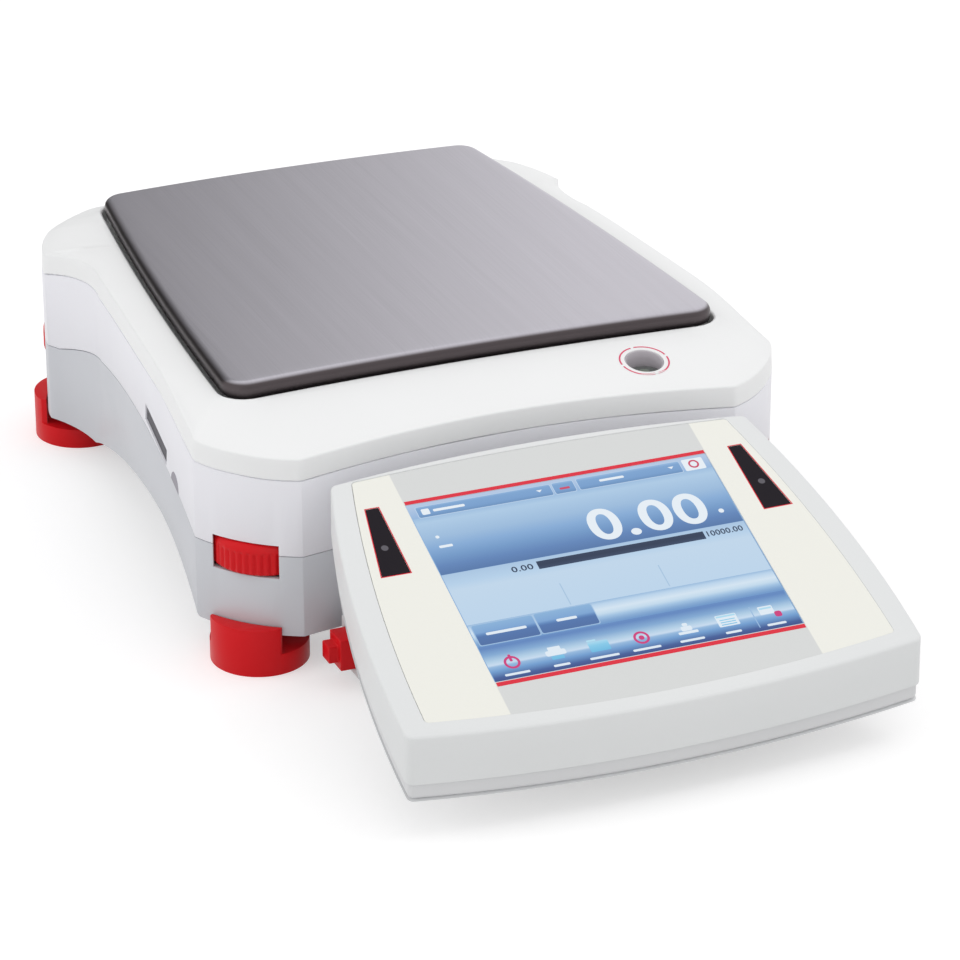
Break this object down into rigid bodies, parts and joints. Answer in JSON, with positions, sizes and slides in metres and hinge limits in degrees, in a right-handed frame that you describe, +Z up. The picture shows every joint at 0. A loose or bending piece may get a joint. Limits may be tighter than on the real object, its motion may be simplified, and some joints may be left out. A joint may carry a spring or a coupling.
{
  "type": "precision balance",
  "caption": "Top-loading lab balance with a brushed pan, a level window, levelling feet with thumbwheels and a tilted screen terminal that slides off a dock.",
  "frame": {"origin": "middle of the footprint's box, on the ground plane", "axes": "+Z up, +X to the right of someone facing the screen, +Y away from them"},
  "size_m": [0.2288, 0.398, 0.098],
  "materials": {
    "grey_paint": "satin",
    "white_plastic": "satin",
    "steel": "plain",
    "dark_plastic": "matte",
    "cup_plastic": "matte",
    "vial_glass": "clear",
    "bubble": "clear",
    "cell_metal": "machined",
    "magnet_iron": "plated",
    "board": "lacquered",
    "port_metal": "plated",
    "rail_plastic": "matte",
    "red_plastic": "satin",
    "pan_rubber": "matte",
    "pan_steel": "brushed",
    "terminal_white": "satin",
    "terminal_grey": "satin",
    "plate": "printed film",
    "screen_glass": "lit screen",
    "panel": "matte",
    "sensor_black": "gloss",
    "lens": "gloss"
  },
  "bodies": {
    "base": {"lower_housing": "grey_paint", "upper_housing": "white_plastic", "top_cover": "white_plastic", "housing_screws": "steel", "slot_inserts": "dark_plastic", "level_cup": "cup_plastic", "level_vial": "vial_glass", "level_bubble": "bubble", "cell_frame": "cell_metal", "magnet_pot": "magnet_iron", "main_board": "board", "cal_motor": "dark_plastic", "rear_panel": "dark_plastic", "power_jack": "dark_plastic", "serial_port": "port_metal", "usb_port": "port_metal", "dock_rail": "rail_plastic"},
    "hook_cover": {"hook_cover": "rail_plastic"},
    "cal_screw": {"cal_screw": "steel"},
    "cal_weight": {"cal_weight": "steel"},
    "load": {"pan_support": "steel", "load_hanger": "cell_metal", "pan_bumpers": "pan_rubber"},
    "pan": {"pan": "pan_steel"},
    "terminal": {"terminal_upper_shell": "terminal_white", "terminal_lower_shell": "terminal_grey", "faceplate": "plate", "touch_glass": "screen_glass", "display_panel": "panel", "sensor_windows": "sensor_black", "sensor_lenses": "lens", "terminal_board": "board", "terminal_screws": "steel", "terminal_feet": "pan_rubber"},
    "latch_left": {"latch_left": "red_plastic"},
    "latch_right": {"latch_right": "red_plastic"},
    "wheel_front_left": {"wheel_front_left": "red_plastic"},
    "foot_front_left": {"foot_front_left": "red_plastic"},
    "wheel_front_right": {"wheel_front_right": "red_plastic"},
    "foot_front_right": {"foot_front_right": "red_plastic"},
    "wheel_rear_left": {"wheel_rear_left": "red_plastic"},
    "foot_rear_left": {"foot_rear_left": "red_plastic"},
    "wheel_rear_right": {"wheel_rear_right": "red_plastic"},
    "foot_rear_right": {"foot_rear_right": "red_plastic"}
  },
  "joints": [
    {"name": "hook_cover_swing", "type": "hinge", "parent": "base", "child": "hook_cover", "pos_m": [0.016, 0.078, 0.0205], "axis": [0, 0, 1], "range_deg": [0, 110]},
    {"name": "cal_screw_turn", "type": "hinge", "parent": "base", "child": "cal_screw", "pos_m": [0.056, 0.092, 0.056], "axis": [0, 0, 1], "range_deg": [0, 1800]},
    {"name": "cal_weight_lift", "type": "slide", "parent": "base", "child": "cal_weight", "axis": [0, 0, 1], "range_m": [0, 0.005]},
    {"name": "load_dip", "type": "slide", "parent": "base", "child": "load", "axis": [0, 0, -1], "range_m": [0, 0.0012], "stiffness_N_per_m": 20000, "springref_m": -0.0006},
    {"name": "pan_lift", "type": "slide", "parent": "load", "child": "pan", "axis": [0, 0, 1], "range_m": [0, 0.06]},
    {"name": "terminal_undock", "type": "slide", "parent": "base", "child": "terminal", "axis": [0, -1, 0], "range_m": [0, 0.06]},
    {"name": "latch_left_press", "type": "slide", "parent": "terminal", "child": "latch_left", "axis": [1, 0, 0], "range_m": [0, 0.003], "stiffness_N_per_m": 800, "springref_m": -0.001},
    {"name": "latch_right_press", "type": "slide", "parent": "terminal", "child": "latch_right", "axis": [-1, 0, 0], "range_m": [0, 0.003], "stiffness_N_per_m": 800, "springref_m": -0.001},
    {"name": "wheel_front_left_turn", "type": "hinge", "parent": "base", "child": "wheel_front_left", "pos_m": [-0.08917, -0.03912, 0.0436], "axis": [0, 0, 1], "range_deg": [0, 1900]},
    {"name": "foot_front_left_travel", "type": "slide", "parent": "base", "child": "foot_front_left", "axis": [0, 0, 1], "range_m": [-0.008, 0]},
    {"name": "wheel_front_right_turn", "type": "hinge", "parent": "base", "child": "wheel_front_right", "pos_m": [0.08917, -0.03912, 0.0436], "axis": [0, 0, 1], "range_deg": [0, 1900]},
    {"name": "foot_front_right_travel", "type": "slide", "parent": "base", "child": "foot_front_right", "axis": [0, 0, 1], "range_m": [-0.008, 0]},
    {"name": "wheel_rear_left_turn", "type": "hinge", "parent": "base", "child": "wheel_rear_left", "pos_m": [-0.08751, 0.16759, 0.0436], "axis": [0, 0, 1], "range_deg": [0, 1900]},
    {"name": "foot_rear_left_travel", "type": "slide", "parent": "base", "child": "foot_rear_left", "axis": [0, 0, 1], "range_m": [-0.008, 0]},
    {"name": "wheel_rear_right_turn", "type": "hinge", "parent": "base", "child": "wheel_rear_right", "pos_m": [0.08751, 0.16759, 0.0436], "axis": [0, 0, 1], "range_deg": [0, 1900]},
    {"name": "foot_rear_right_travel", "type": "slide", "parent": "base", "child": "foot_rear_right", "axis": [0, 0, 1], "range_m": [-0.008, 0]}
  ],
  "couplings": [
    {"joint": "cal_screw_turn", "follows": "cal_weight_lift", "rad_per_m": 6283.1},
    {"joint": "foot_front_left_travel", "follows": "wheel_front_left_turn", "m_per_rad": -0.0002387},
    {"joint": "foot_front_right_travel", "follows": "wheel_front_right_turn", "m_per_rad": -0.0002387},
    {"joint": "foot_rear_left_travel", "follows": "wheel_rear_left_turn", "m_per_rad": -0.0002387},
    {"joint": "foot_rear_right_travel", "follows": "wheel_rear_right_turn", "m_per_rad": -0.0002387}
  ]
}
